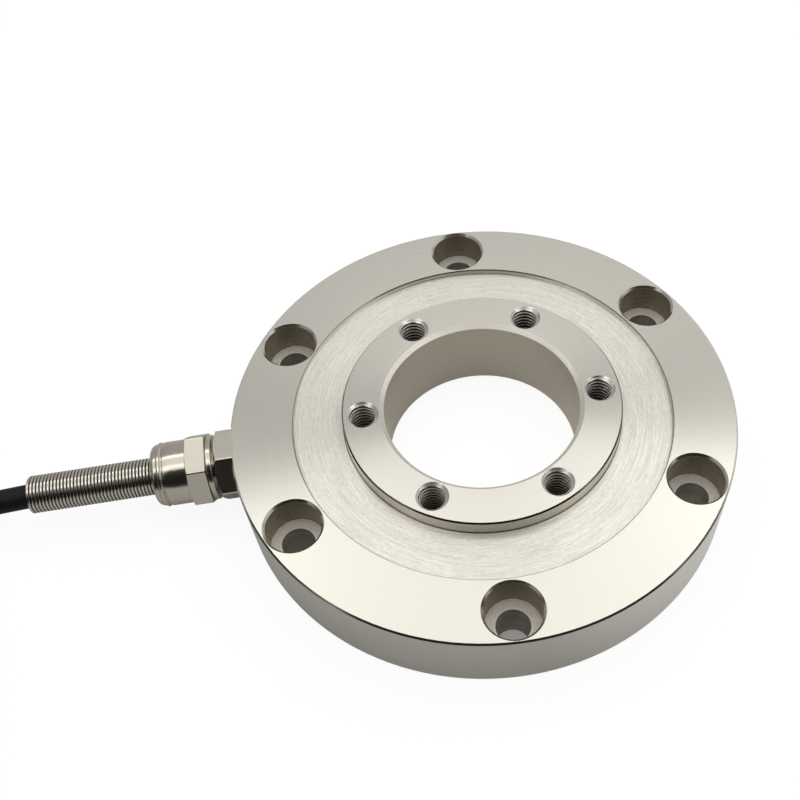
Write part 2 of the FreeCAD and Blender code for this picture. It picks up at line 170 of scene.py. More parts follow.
# %% Mesh helpers
def merge_seams(mesh):
    """Join vertices that lie in the same place, such as a pole's or the seams between a solid's faces."""
    skin = bmesh.new()
    skin.from_mesh(mesh)
    bmesh.ops.remove_doubles(skin, verts=skin.verts, dist=1e-7)
    bmesh.ops.dissolve_degenerate(skin, edges=skin.edges, dist=1e-9)
    skin.to_mesh(mesh)
    skin.free()


def smooth_below(mesh, degrees):
    """Faces that meet at less than this angle share their normals; sharper edges stay crisp."""
    mesh.polygons.foreach_set("use_smooth", np.ones(len(mesh.polygons), bool))
    mesh.set_sharp_from_angle(angle=np.radians(degrees))


def add_piece(name, mesh, slot, *nodes):
    """Put a finished mesh into the scene, on the one body, in place of the nodes that it stands for."""
    piece = bpy.data.objects.new(name, mesh)
    bpy.context.scene.collection.objects.link(piece)
    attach(piece, "root")
    if nodes:
        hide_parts(*nodes)
    return piece


# %% [markdown]
# ## Smooth skins for the turned pieces
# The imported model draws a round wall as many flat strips, and a polished wall shows each strip as a band of
# its own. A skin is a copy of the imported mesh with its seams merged: strips that meet at a few degrees share
# their normals, while the chamfers and edges, which meet at 45 degrees or more, stay crisp.

# %% Skins
lead_names = ["red", "black", "green", "white", "shield"]


def skin(node, slot):
    """A smooth copy of a node's mesh that stands for the node."""
    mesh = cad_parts[node].data.copy()
    merge_seams(mesh)
    if "custom_normal" in mesh.attributes:
        mesh.attributes.remove(mesh.attributes["custom_normal"])
    mesh.materials.clear()
    smooth_below(mesh, degrees=25)
    return add_piece(node + "_skin", mesh, slot, node)


body = skin("sensing_body", "nickel_plated_steel")
cover = skin("cover_ring", "cover_steel")
tie = skin("coil_tie", "tie_nylon")
leads = {}
for name in lead_names:
    lead_slot = "tinned_braid" if name == "shield" else "core_" + name
    leads[name] = skin("lead_" + name, lead_slot)
print("skins:", len([body, cover, tie, *leads.values()]))

# %% [markdown]
# ## Threads in the hub
# The six holes of the hub are tapped M6: a ridge with 60-degree flanks winds up the wall, one millimetre a
# turn. It could be a bump on the wall, but the crests catch the light and hide the roots from the side, so
# it is real geometry: a sleeve whose inner radius is a clipped triangle wave of height minus angle.

# %% Sizes of the threads
hub_top = 18.2
hole_turn = -2.7                # degrees, of both circles of holes against the gland's line
tap_circle = 24.25
thread_pitch = 1.0
thread_outer = 3.0
thread_inner = 2.5
thread_depth = 10.0
thread_mouth = 0.25             # countersink above the first turn
crest_share, root_share = 0.25, 0.125
root_gap, wall_gap = 0.01, 0.002    # from the hole's wall to the roots and to the sleeve's outside
thread_rows, thread_columns = 141, 96


# %% Thread sleeves
def thread_sleeve(name, centre_x, centre_y):
    """Sleeve with a right-hand thread inside.
    With t the fraction of height / pitch - angle / turn, the radius is the outer one at t = 0, falls to the
    inner one along straight flanks, and stays there over a quarter of the pitch. The mouth is a 45-degree
    cone."""
    top = hub_top - thread_mouth
    root = thread_outer - root_gap
    heights = np.linspace(top, hub_top - thread_depth, thread_rows)[:, None]
    turns = np.linspace(0, 1, thread_columns, endpoint=False)[None, :]
    phase = np.abs(2 * ((heights / thread_pitch - turns) % 1) - 1)
    flank = np.clip((phase - crest_share) / (1 - crest_share - root_share), 0, 1)
    inner = thread_inner + (root - thread_inner) * flank
    inner = np.maximum(inner, root - (top - heights))
    outer = np.full((2, thread_columns), thread_outer - wall_gap)
    radius = np.vstack([inner, outer])
    level = np.vstack([heights, heights[-1:], heights[:1]]) * np.ones_like(turns)
    x = centre_x + radius * np.cos(2 * np.pi * turns)
    y = centre_y + radius * np.sin(2 * np.pi * turns)
    mesh = grid_mesh(name, np.stack([x, y, level], axis=-1) * MM)
    smooth_below(mesh, degrees=35)
    return add_piece(name, mesh, "nickel_plated_steel")


threads = []
for number in range(6):
    direction = np.radians(hole_turn + 60 * number)
    centre = tap_circle * np.cos(direction), tap_circle * np.sin(direction)
    threads.append(thread_sleeve(f"tap_thread_{number + 1}", *centre))

# %% [markdown]
# ## The cable gland
# The gland is two plated pieces: a body with a hexagon, screwed into the flange, and a nut that clamps the
# cable. Both are turned from hexagon bar, so a piece is one turned profile carried round the axis, and where
# the bar was left, the radius is the smaller of the turned one and the bar's: half the width across flats
# over the cosine of the angle from the middle of the flat. A turned cone then leaves the curved edge on each
# flat that every nut has. A smooth minimum rounds the bar's corners, as tumbling before plating does.

# %% Gland helpers
gland_columns = 600
corner_blend, cone_blend = 0.12, 0.03


def smooth_minimum(a, b, width):
    """The smaller of two, rounded off where they differ by less than the width."""
    return np.minimum(a, b) - np.maximum(width - np.abs(a - b), 0) ** 2 / (4 * width)


def gland_piece(name, profile, flat_radius, corner_radius, corner_degrees, node):
    """Carry a closed profile round the gland's axis.
    A profile point is (distance from the ring's axis, turned radius, 1 where the bar was left or else 0).
    There, the radius is the smaller of the turned one and flat / cos(angle from the middle of the nearest
    flat)."""
    angle = np.linspace(0, 2 * np.pi, gland_columns, endpoint=False)[None, :]
    station, radius, barred = (column[:, None] for column in np.array(profile, float).T)
    from_flat = (angle - np.radians(corner_degrees)) % (np.pi / 3) - np.pi / 6
    bar = smooth_minimum(flat_radius / np.cos(from_flat), corner_radius, corner_blend)
    reach = np.where(barred > 0, smooth_minimum(bar, radius, cone_blend), radius)
    along = -station * np.ones_like(angle)
    points = np.stack([along, reach * np.cos(angle), gland_height + reach * np.sin(angle)], axis=-1)
    mesh = grid_mesh(name, points * MM)
    smooth_below(mesh, degrees=32)
    return add_piece(name, mesh, "gland_metal", node)


def rounding(station, radius, size, start, end, steps=7):
    """Points of an arc about a centre, between two angles in degrees; 90 points away from the axis."""
    sweep = np.radians(np.linspace(start, end, steps))
    return [(station + size * np.cos(a), radius + size * np.sin(a), 0) for a in sweep]


def cone(start, end, steps):
    """Points of a straight cone on the bar, from one (distance, radius) to another."""
    return [(*place, 1) for place in np.linspace(start, end, steps)]


# %% Gland body
seat, shank_end, bar_end, neck_end = 51.05, 43.05, 55, 61
shank_radius, neck_radius, cable_bore, core_bore = 4.0, 4.8, 2.7, 2.0
body_bar = [*cone((seat, 7.45), (51.15, 7.6), 2), *cone((52, 7.6), (54, 7.6), 3),
            *cone((54.37, 7.6), (bar_end, 6.5), 14)]
neck = [(bar_end, neck_radius, 0), (neck_end, neck_radius, 0), (neck_end, cable_bore, 0)]
bore = [(-jacket_end, cable_bore, 0), (-jacket_end, core_bore, 0), (shank_end, core_bore, 0)]
shank = [(shank_end, shank_radius, 0), (seat, shank_radius, 0)]
gland_body = gland_piece("gland_body_bar", [shank[1], *body_bar, *neck, *bore, shank[0]], flat_radius=6.6,
                         corner_radius=7.55, corner_degrees=115.2, node="gland_body")

# %% Gland nut
mouth_bore, chamber_bore = 4.05, 5.0
chamber_start, chamber_end = 55.5, 65.0
collar = [*rounding(55.8, 6.35, 0.3, 180, 90), *rounding(56.4, 6.35, 0.3, 90, 0)]
nut_bar = [*cone((56.7, 7.7), (56.78, 7.9), 3), *cone((57.6, 7.9), (59.7, 7.9), 4),
           *cone((60.33, 7.9), (60.65, 6.75), 9)]
barrel = [(60.65, 6.48, 0), (60.75, 6.55, 0), (62, 6.55, 0), (63.5, 6.55, 0), (65.1, 6.55, 0),
          (65.22, 6.5, 0)]
groove = [(65.36, 6.34, 0), (65.43, 6.27, 0), (65.5, 6.25, 0), (65.57, 6.27, 0), (65.66, 6.36, 0)]
bead = [*rounding(66.08, 6.15, 0.45, 150, 15, 12), (66.58, 6.22, 0)]
nose = [(66.63, 6.22, 0), (66.68, 6.28, 0), *rounding(66.75, 5.15, 1.15, 90, 0, 12)]
mouth = [(-gland_mouth, 4.2, 0), (67.88, 4.12, 0), (67.8, mouth_bore, 0), (chamber_end, mouth_bore, 0)]
chamber = [(chamber_end, chamber_bore, 0), (chamber_start, chamber_bore, 0)]
nut_profile = [*collar, *nut_bar, *barrel, *groove, *bead, *nose, *mouth, *chamber]
gland_nut = gland_piece("gland_nut_bar", nut_profile, flat_radius=6.85,
                        corner_radius=7.85, corner_degrees=129.3, node="gland_nut")

# %% [markdown]
# ## The strain-relief spring
# The spring is one wire, wound without gaps round the cable, and its light and dark bands come from the round
# of the wire. So it is a circle carried along a helix: 42 turns whose pitch is the wire's own thickness, with
# one wider turn that the nut traps. Each end of the wire closes in a small dome.

# %% Wound spring
steps_per_turn, wire_sides = 64, 14


def wound_spring(name, first, turns, pitch, wire_radius, turn_radius, wide_radius):
    """Tube round a helix about the gland's axis.
    The helix is (first + pitch * t, R cos 2 pi t, R sin 2 pi t), and R shrinks from the wide radius to the
    turn radius over the first turn. The tube's circle lies in the plane of the radial direction and the axis,
    and its radius at a distance e from the wire's end is the root of w squared - (w - e) squared for e under
    w."""
    t = np.linspace(0, turns, round(turns * steps_per_turn) + 1)[:, None]
    centre_radius = turn_radius + (wide_radius - turn_radius) * np.clip(1 - t, 0, 1)
    length = 2 * np.pi * turn_radius * t
    from_end = np.minimum(np.minimum(length, length[-1] - length), wire_radius)
    section = np.sqrt(np.maximum(wire_radius ** 2 - (wire_radius - from_end) ** 2, 0))
    around = np.linspace(0, 2 * np.pi, wire_sides, endpoint=False)[None, :]
    reach = centre_radius + section * np.cos(around)
    station = first + pitch * t + section * np.sin(around)
    turned = 2 * np.pi * t
    points = np.stack([-station, reach * np.cos(turned), gland_height + reach * np.sin(turned)], axis=-1)
    mesh = grid_mesh(name, points * MM)
    merge_seams(mesh)
    smooth_below(mesh, degrees=60)
    return add_piece(name, mesh, "spring_steel", "strain_relief_spring")


spring = wound_spring("strain_relief_wire", first=64.55, turns=42, pitch=0.684,
                      wire_radius=0.339, turn_radius=3.508, wide_radius=4.158)

# %% [markdown]
# ## Writing shaders as arithmetic
# A finish is a formula over the surface, and nodes are a clumsy way to write one. A small class wraps a
# socket, so that `1 - mask * 0.3` adds the Math nodes by itself, and one method adds any other node. A finish
# is then a function from the surface's place, in millimetres, to the sockets of one Principled shader.

# %% Shader class
class Wire:
    """One socket of a node tree; arithmetic on wires adds Math nodes."""

    def __init__(self, tree, socket=None):
        self.tree = tree
        self.socket = socket

    def node(self, kind, settings=None, sockets=None, out=0):
        """Add a node from its type, its settings and the values or wires of its sockets, and go on from an
        output."""
        made = self.tree.nodes.new(kind)
        for name, value in (settings or {}).items():
            setattr(made, name, value)
        for name, value in (sockets or {}).items():
            if isinstance(value, Wire):
                self.tree.links.new(value.socket, made.inputs[name])
            else:
                made.inputs[name].default_value = value
        return Wire(self.tree, made.outputs[out])

    def math(self, operation, *values):
        """Add a Math node that works on these values or wires."""
        return self.node("ShaderNodeMath", {"operation": operation}, dict(enumerate(values)))

    def __add__(self, other):
        return self.math("ADD", self, other)

    def __sub__(self, other):
        return self.math("SUBTRACT", self, other)

    def __rsub__(self, other):
        return self.math("SUBTRACT", other, self)

    def __mul__(self, other):
        return self.math("MULTIPLY", self, other)

    def __truediv__(self, other):
        return self.math("DIVIDE", self, other)

    def __pow__(self, other):
        return self.math("POWER", self, other)

    __radd__ = __add__
    __rmul__ = __mul__


# %% Helpers for places
def split(vector):
    """The three coordinates of a vector."""
    return [vector.node("ShaderNodeSeparateXYZ", None, {0: vector}, axis) for axis in range(3)]


def join(x, y, z):
    """A vector from three coordinates, at least one of them a wire."""
    wire = next(value for value in (x, y, z) if isinstance(value, Wire))
    return wire.node("ShaderNodeCombineXYZ", None, {0: x, 1: y, 2: z})


def from_axis(x, y):
    """Distance from an axis: the root of x squared + y squared."""
    return (x * x + y * y) ** 0.5


def sine(value):
    """The sine of an angle in radians."""
    return value.math("SINE", value)


def upward(place):
    """How far a face looks up: the height of its true normal, from -1 to 1."""
    return split(place.node("ShaderNodeNewGeometry", None, None, "True Normal"))[2]


def lifted(place, amount):
    """The smooth normal with an amount added to its height, made one long again."""
    normal = place.node("ShaderNodeNewGeometry", None, None, "Normal")
    raised = normal.node("ShaderNodeVectorMath", {"operation": "ADD"}, {0: normal, 1: join(0.0, 0.0, amount)})
    return raised.node("ShaderNodeVectorMath", {"operation": "NORMALIZE"}, {0: raised})


# %% Helpers for masks and colours
def noise(vector, scale, detail=2.0, roughness=0.5):
    """Cloudy noise between 0 and 1."""
    sockets = {"Vector": vector, "Scale": scale, "Detail": detail, "Roughness": roughness}
    return vector.node("ShaderNodeTexNoise", None, sockets)


def rise(value, low, high):
    """0 below one value, 1 above another, and a smooth step between them."""
    sockets = {"Value": value, "From Min": low, "From Max": high}
    return value.node("ShaderNodeMapRange", {"interpolation_type": "SMOOTHSTEP"}, sockets)


def fall(value, low, high):
    """1 below one value, 0 above another, and a smooth step between them."""
    return 1 - rise(value, low, high)


def between(value, low, high, soft):
    """1 between two values, with soft ends."""
    return rise(value, low - soft, low + soft) * fall(value, high - soft, high + soft)


def tint(mask, dark, light):
    """A colour that goes from one to another as the mask goes from 0 to 1.
    Each is a wire, or its red, green and blue."""
    dark, light = (colour if isinstance(colour, Wire) else (*colour, 1) for colour in (dark, light))
    return mask.node("ShaderNodeMix", {"data_type": "RGBA"}, {0: mask, 6: dark, 7: light}, 2)


# %% From a recipe to a material
def bump(height, distance, **sockets):
    """A normal that makes a height seem to stand out by a distance in millimetres."""
    return height.node("ShaderNodeBump", None, {"Height": height, "Distance": distance * MM, **sockets})


def finish(name, recipe, **constants):
    """A material whose recipe turns the place on the piece, in millimetres, into shader sockets."""
    material = bpy.data.materials.new(name)
    material.use_nodes = True
    tree = material.node_tree
    shader = tree.nodes["Principled BSDF"]
    for socket, value in constants.items():
        shader.inputs[socket.replace("_", " ")].default_value = value
    metres = Wire(tree).node("ShaderNodeTexCoord", None, None, "Object")
    place = metres.node("ShaderNodeVectorMath", {"operation": "SCALE"}, {"Vector": metres, "Scale": 1 / MM})
    for socket, wire in recipe(place).items():
        tree.links.new(wire.socket, shader.inputs[socket])
    print(f"{name}: {len(tree.nodes)} nodes")
    return material


# %% [markdown]
# ## Turned nickel
# The body is faced on a lathe and then plated, so fine marks run round its axis. Marks too fine to see
# stretch every reflection across them: a constant anisotropy does that, because the shader's own tangent runs
# round the upright axis. Marks that can be seen are noise over the distance from the axis, or over the height
# on a wall, stretched along the turning. The recess is left coarser than the two lands, in short dashes and
# long streaks.
# Edges are told apart by how far a face leans. The broken edge of the bore is rounded over, so its normal
# is lifted a little, and the taps' edges lean the other way. The edges of the hub and the recess and the
# hub's foot are painted with a dark line of painted shade. The holes are duller inside, the counterbores and
# the tapped holes are painted dark and brown inside as painted shade, the clearance holes are darker and the
# bore is browner, on ring floors left pale by the cutter. Six holes on a circle are one hole seen six times:
# folding the angle into a sixth of a turn gives the distance from the nearest hole's axis.

# %% Distance from the holes
def hole_distance(place, circle, first):
    """Distance from the nearest of six upright axes on a circle, the first of them at an angle in degrees."""
    x, y = split(place)[:2]
    radius = from_axis(x, y)
    swept = x.math("ARCTAN2", y, x) - np.radians(first)
    folded = swept.math("WRAP", swept, np.pi / 6, -np.pi / 6)
    across = radius * sine(folded)
    outwards = radius * folded.math("COSINE", folded) - circle
    return from_axis(across, outwards)


# %% Zones of the body
bore_radius, hub_radius, recess_radius, flange_radius = 20.0, 28.5, 38.75, 51.5
recess_floor = 14.9
bolt_circle, counterbore, clearance = 45.125, 5.5, 3.3


def body_zones(place):
    """Masks of the body's faces: soft steps of the distances from the axes, the height and the lean."""
    x, y, z = split(place)
    radius = from_axis(x, y)
    bolt = hole_distance(place, bolt_circle, hole_turn + 30)
    tap = hole_distance(place, tap_circle, hole_turn)
    facing = upward(place)
    level = rise(facing.math("ABSOLUTE", facing), 0.6, 0.8)
    chamfer = between(facing, 0.4, 0.9, 0.1)

    zone = {"level": level, "chamfer": chamfer}
    near_floor = between(z, recess_floor - 0.3, recess_floor + 0.4, 0.05)
    zone["recess"] = level * between(radius, hub_radius + 0.2, recess_radius - 0.15, 0.1) * near_floor
    # Masks of the recess's edge and the hub's edge, wall and foot; the edges and the foot get dark lines of
    # painted shade.
    by_recess = between(radius, recess_radius - 0.13, recess_radius + 0.21, 0.04)
    zone["recess_edge_painted_shade"] = by_recess * rise(z, flange_top - 0.5, flange_top - 0.3)
    zone["hub_edge_painted_shade"] = chamfer * between(radius, hub_radius - 0.5, hub_radius + 0.3, 0.1)
    by_wall = between(radius, hub_radius - 0.2, hub_radius + 0.1, 0.05)
    zone["hub_wall"] = by_wall * between(z, recess_floor, hub_top - 0.3, 0.05)
    by_foot = between(radius, hub_radius - 0.1, hub_radius + 0.16, 0.05)
    zone["hub_foot_painted_shade"] = by_foot * between(z, recess_floor - 0.3, recess_floor + 0.1, 0.04)
    zone["outer_wall"] = rise(radius, flange_radius - 0.2, flange_radius - 0.05)
    zone["lip"] = chamfer * fall(radius, hub_radius - 0.8, hub_radius - 0.5)
    zone["in_bore"] = fall(radius, bore_radius + 0.05, bore_radius + 0.15)

    near_bolt = fall(bolt, counterbore + 0.02, counterbore + 0.1)
    zone["in_bolt"] = near_bolt * fall(z, flange_top - 0.6, flange_top - 0.4)
    zone["bolt_floor"] = zone["in_bolt"] * level
    zone["bolt_rim"] = chamfer * fall(bolt, counterbore + 0.5, counterbore + 0.7)
    zone["in_clearance"] = fall(bolt, clearance + 0.02, clearance + 0.1)
    near_tap = fall(tap, thread_outer + 0.02, thread_outer + 0.1)
    zone["in_tap"] = near_tap * fall(z, hub_top - 0.3, hub_top - 0.15)
    zone["tap_rim"] = chamfer * fall(tap, thread_outer + 0.3, thread_outer + 0.4)
    return zone


# %% Marks of the tools
def tool_marks(place, level):
    """Noise along the tools' ways: over the radius on a level face, over the height on a wall, and over the
    distance from the axis of a bolt hole."""
    x, y, z = split(place)
    radius = from_axis(x, y)
    along = radius * level + z * (1 - level)
    round_x, round_y = x / radius, y / radius
    bolt = hole_distance(place, bolt_circle, hole_turn + 30)

    def turned(way, fineness, breaks, detail, roughness):
        """Noise over a way across the marks; the more breaks, the shorter a mark is round the axis."""
        return noise(join(way * fineness, round_x * breaks, round_y * breaks), 1.0, detail, roughness)

    grain = noise(place, 2.2, 3.0, 0.6)
    dashes = turned(radius, 8.0, 34.0, 2.0, 0.6)
    streaks = turned(radius, 7.5, 4.0, 2.0, 0.6)
    rings = noise(join(bolt * 5.0, z * 3.0, grain * 4.0), 1.0, 2.0, 0.6)
    marks = {"grain": grain}
    marks["fine"] = turned(along, 7.0, 1.5, 4.0, 0.7)
    marks["broad"] = turned(along, 1.3, 0.8, 3.0, 0.6)
    marks["scored"] = rise(dashes * 0.45 + streaks * 0.55, 0.38, 0.62)
    marks["spun"] = rise(rings, 0.36, 0.64)
    return marks


# %% Nickel finish
land_colours = (0.722, 0.692, 0.617), (0.753, 0.723, 0.648)

# Zone, the marks that shade it, its dark and its light colour; a later zone lies over an earlier one.
zone_colours = [
    ("recess", "scored", (0.74, 0.71, 0.63), (1.0, 0.975, 0.885)),
    ("lip", "fine", (0.56, 0.535, 0.465), (0.86, 0.825, 0.735)),
    # This row and the next paint dark lines at the recess's edge and the hub's edge: painted shade.
    ("recess_edge_painted_shade", "fine", (0.42, 0.40, 0.345), (0.56, 0.535, 0.465)),
    ("hub_edge_painted_shade", "fine", (0.22, 0.21, 0.19), (0.32, 0.31, 0.28)),
    ("hub_wall", "fine", (0.56, 0.525, 0.455), (0.64, 0.605, 0.53)),
    # This row paints a dark line at the hub's foot: painted shade.
    ("hub_foot_painted_shade", "fine", (0.14, 0.132, 0.11), (0.26, 0.245, 0.21)),
    ("outer_wall", "fine", (0.69, 0.667, 0.605), (0.81, 0.787, 0.725)),
    ("in_bore", "fine", (0.70, 0.655, 0.545), (0.83, 0.785, 0.665)),
    # This row paints the counterbores' walls dark brown, as painted shade in the deep holes.
    ("in_bolt", "spun", (0.30, 0.26, 0.195), (0.46, 0.405, 0.315)),
    ("bolt_floor", "spun", (0.70, 0.66, 0.57), (1.0, 0.96, 0.86)),
    ("in_clearance", "spun", (0.46, 0.44, 0.38), (0.62, 0.595, 0.52)),
    # This row paints the inside of the tapped holes near black, as painted shade deep in the holes.
    ("in_tap", "grain", (0.05, 0.044, 0.034), (0.10, 0.088, 0.07)),
]


def turned_nickel(place):
    """The lands' colour with each zone's laid over it; roughness and relief are sums over the zones."""
    zone = body_zones(place)
    marks = tool_marks(place, zone["level"])
    fine, recess, in_bolt, lip = marks["fine"], zone["recess"], zone["in_bolt"], zone["lip"]
    colour = tint(fine * 0.6 + marks["broad"] * 0.4, *land_colours)
    for name, shading, dark, light in zone_colours:
        colour = tint(zone[name], colour, tint(marks[shading], dark, light))

    rough = 0.255 + 0.02 * fine + 0.01 * marks["grain"]
    rough = rough + recess * 0.12 + in_bolt * 0.2 + zone["in_bore"] * 0.1
    rough = rough - (zone["chamfer"] - lip) * 0.13 + zone["bolt_rim"] * 0.07
    rough = rough + lip * 0.15 - zone["tap_rim"] * 0.2
    metal = 1 - 0.1 * recess - 0.9 * zone["bolt_floor"] * (1 - zone["in_clearance"])
    relief = fine * (0.015 + 0.25 * recess) + marks["scored"] * recess * 0.5 + marks["spun"] * in_bolt
    normal = bump(relief, 0.012, Normal=lifted(place, lip * 1.2 - zone["tap_rim"] * 0.82))
    return {"Base Color": colour, "Roughness": rough, "Metallic": metal, "Normal": normal}


nickel = finish("turned_nickel", turned_nickel, Anisotropic=0.8, Anisotropic_Rotation=0.25)
body.data.materials.append(nickel)

# %% [markdown]
# ## Cut threads
# The roots of a thread are painted dark as painted shade and its crests bright as painted highlights, and the
# crests fade to painted shade deeper in the hole. The distance from the hole's axis tells the one from the
# other.

# %% Thread finish
def cut_thread(place):
    """Painted highlights on the crests over painted shade in the roots, darker with depth, and a bright mouth
    cone.
    On the 45-degree cone, height minus distance from the hole's axis is a constant."""
    z = split(place)[2]
    reach = hole_distance(place, tap_circle, hole_turn)
    crest = fall(reach, thread_inner + 0.01, thread_inner + 0.22)
    mouth = between(z - reach, 14.85, 15.1, 0.05) * rise(z, hub_top - 0.8, hub_top - 0.7)
    depth = rise(z, 11.0, 18.0)
    grain = noise(place, 3.0, 3.0, 0.6)
    # Painted light: bright crests and dark roots, darker deeper in the hole, stand in for highlights and
    # shade.
    painted_crest_light = crest * (0.25 + 0.75 * depth) * (0.85 + 0.6 * grain)
    colour = tint(painted_crest_light, (0.04, 0.034, 0.027), (1.0, 0.955, 0.85))
    colour = tint(mouth, colour, tint(grain, (0.56, 0.54, 0.48), (0.84, 0.815, 0.74)))
    rough = 0.5 - 0.2 * painted_crest_light - 0.25 * mouth
    metal = 1 - 0.2 * mouth - 0.45 * painted_crest_light * (1 - mouth)
    normal = bump(grain, 0.02, Normal=lifted(place, mouth * 0.4))
    return {"Base Color": colour, "Roughness": rough, "Metallic": metal, "Normal": normal}


thread_metal = finish("cut_thread", cut_thread)
for sleeve in threads:
    sleeve.data.materials.append(thread_metal)

# %% [markdown]
# ## Plated gland and spring wire
# The gland is polished before plating, so it mirrors the room in clean bands, with only faint scratches and
# turning marks along its axis. Only the body's upper flat, where the spanner lay, is scuffed to a duller
# sheen. The spring is drawn wire, lighter on its crown and painted dark between its turns as painted shade.

# %% Gland and spring finishes
def plated_gland(place):
    """Bright plating with faint turning marks round the gland's axis, and one scuffed flat."""
    x, y, z = split(place)
    marks = noise(join(x * 9.0, y * 0.15, z * 0.15), 1.0, 3.0, 0.6)
    grain = noise(place, 1.8, 4.0, 0.65)
    colour = tint(marks * 0.5 + grain * 0.5, (0.60, 0.56, 0.475), (0.72, 0.675, 0.58))
    scuffed = rise(x, -55.6, -55.4) * rise(upward(place), 0.9, 0.97)
    rough = 0.11 + 0.10 * grain + 0.05 * marks + 0.22 * scuffed
    return {"Base Color": colour, "Roughness": rough, "Normal": bump(marks, 0.003)}


def spring_wire(place):
    """Drawn wire, painted darker in the valleys between the turns as painted shade: nearer to the gland's
    axis.
    """
    y, z = split(place)[1:]
    crown = rise(from_axis(y, z - gland_height), 3.66, 3.835)
    grain = noise(place, 2.5, 3.0, 0.6)
    # Painted shade: the colour falls almost to black towards the valleys between the turns.
    colour = tint(crown * 0.85 + grain * 0.15, (0.05, 0.045, 0.038), (0.77, 0.725, 0.635))
    rough = 0.30 - 0.14 * crown + 0.06 * grain
    return {"Base Color": colour, "Roughness": rough, "Normal": bump(grain, 0.004)}


gland_plating = finish("plated_gland", plated_gland, Metallic=1.0)
gland_body.data.materials.append(gland_plating)
gland_nut.data.materials.append(gland_plating)
spring.data.materials.append(finish("spring_wire", spring_wire, Metallic=1.0))

# %% [markdown]
# ## Cable, tie and leads
# The jacket is extruded black PVC: dull, with a faint pebbled skin. The tie is moulded nylon, a little
# glossier. The leads are coloured cores whose last millimetres are stripped and tinned, so their finish
# changes along the lead: the angle about the coil's centre, times the radius, is the way along it.

# %% Cable and tie finishes
def black_jacket(place):
    """Matte black with a pebbled skin and slight scuffs."""
    pebble = noise(place, 3.5, 3.0, 0.6)
    scuff = noise(place, 0.35, 4.0, 0.7)
    colour = tint(scuff, (0.006, 0.006, 0.007), (0.016, 0.016, 0.018))
    return {"Base Color": colour, "Roughness": 0.42 + 0.2 * scuff, "Normal": bump(pebble, 0.03)}


def moulded_nylon(place):
    """Black nylon with a fine moulded grain."""
    grain = noise(place, 5.0, 2.0, 0.5)
    colour = tint(grain, (0.012, 0.012, 0.013), (0.030, 0.030, 0.032))
    return {"Base Color": colour, "Roughness": 0.32 + 0.15 * grain, "Normal": bump(grain, 0.02)}


cable_curve.materials.append(finish("black_jacket", black_jacket, Specular_IOR_Level=0.22))
tie.data.materials.append(finish("moulded_nylon", moulded_nylon))

# %% Lead finishes
lead_colours = {"red": (0.55, 0.02, 0.015), "black": (0.012, 0.012, 0.012), "green": (0.02, 0.22, 0.05),
                "white": (0.72, 0.71, 0.68), "shield": (0.50, 0.49, 0.47)}
longest_lead, lead_step = 34.0, 2.5
bare_length = 6.0


def lead_recipe(colour, length):
    """A recipe for a lead of one colour that is bare over its last millimetres.
    The way along it is the angle from the end of the cable, about the coil's centre, times the radius."""
    def recipe(place):
        x, y, z = split(place)
        swept = x.math("ARCTAN2", y - coil_centre[1], x - coil_centre[0]) - tail_angle
        bare_from = length - bare_length
        bare = rise(swept * tail_radius, bare_from - 0.1, bare_from + 0.1)
        strands = noise(join(x * 0.5, y * 0.5, z * 4.0), 2.0, 3.0, 0.6)
        grain = noise(place, 4.0, 2.0, 0.5)
        covered = tint(grain, [0.75 * part for part in colour], colour)
        tinned = tint(strands, (0.45, 0.44, 0.42), (0.72, 0.71, 0.69))
        colour_along = tint(bare, covered, tinned)
        rough = 0.45 - 0.12 * bare + 0.1 * grain
        normal = bump(strands * bare + grain * 0.2, 0.05)
        return {"Base Color": colour_along, "Metallic": bare, "Roughness": rough, "Normal": normal}
    return recipe


for number, name in enumerate(lead_names):
    recipe = lead_recipe(lead_colours[name], longest_lead - lead_step * number)
    leads[name].data.materials.append(finish("lead_" + name, recipe))

# %% [markdown]
# ## Pieces inside the ring
# Below the membrane, behind the cover ring, sit eight foil gauges, a small board with three trimming
# resistors, and the four cores that join the board to the cable. Nothing of them shows from outside, but the
# part can be taken apart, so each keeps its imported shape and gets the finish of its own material.

# %% Recipes of the inner pieces
def brushed_cover(place):
    """Thin sheet steel, with marks round the axis from its turning."""
    x, y = split(place)[:2]
    radius = from_axis(x, y)
    marks = noise(join(radius * 5.0, x / radius, y / radius), 1.0, 4.0, 0.7)
    colour = tint(marks, (0.50, 0.49, 0.47), (0.66, 0.65, 0.62))
    return {"Base Color": colour, "Roughness": 0.3 + 0.15 * marks, "Normal": bump(marks, 0.01)}


def foil_gauge(place):
    """Copper-coloured foil lines on an amber film: the sign of a sine across them."""
    x, y = split(place)[:2]
    mask = rise(sine((x + y) * 9.0), -0.1, 0.1)
    colour = tint(mask, (0.42, 0.20, 0.05), (0.62, 0.45, 0.30))
    return {"Base Color": colour, "Metallic": mask * 0.8, "Roughness": 0.45 - 0.1 * mask}


def board_mask(place):
    """Green lacquer over a faint glass weave: the product of two crossed sines."""
    x, y = split(place)[:2]
    weave = sine(x * 12.0) * sine(y * 12.0) * 0.5 + 0.5
    colour = tint(weave, (0.012, 0.085, 0.035), (0.02, 0.13, 0.055))
    return {"Base Color": colour, "Roughness": 0.3 + 0.1 * weave, "Normal": bump(weave, 0.01)}


def cloudy(dark, light, rough, scale):
    """A recipe for a plain moulded or painted piece with a cloudy tone."""
    def recipe(place):
        cloud = noise(place, scale, 3.0, 0.6)
        colour = tint(cloud, dark, light)
        return {"Base Color": colour, "Roughness": rough + 0.12 * cloud, "Normal": bump(cloud, 0.02)}
    return recipe


# %% Finishes of the inner pieces
def dress(node, material):
    """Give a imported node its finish."""
    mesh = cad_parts[node].data
    mesh.materials.clear()
    mesh.materials.append(material)


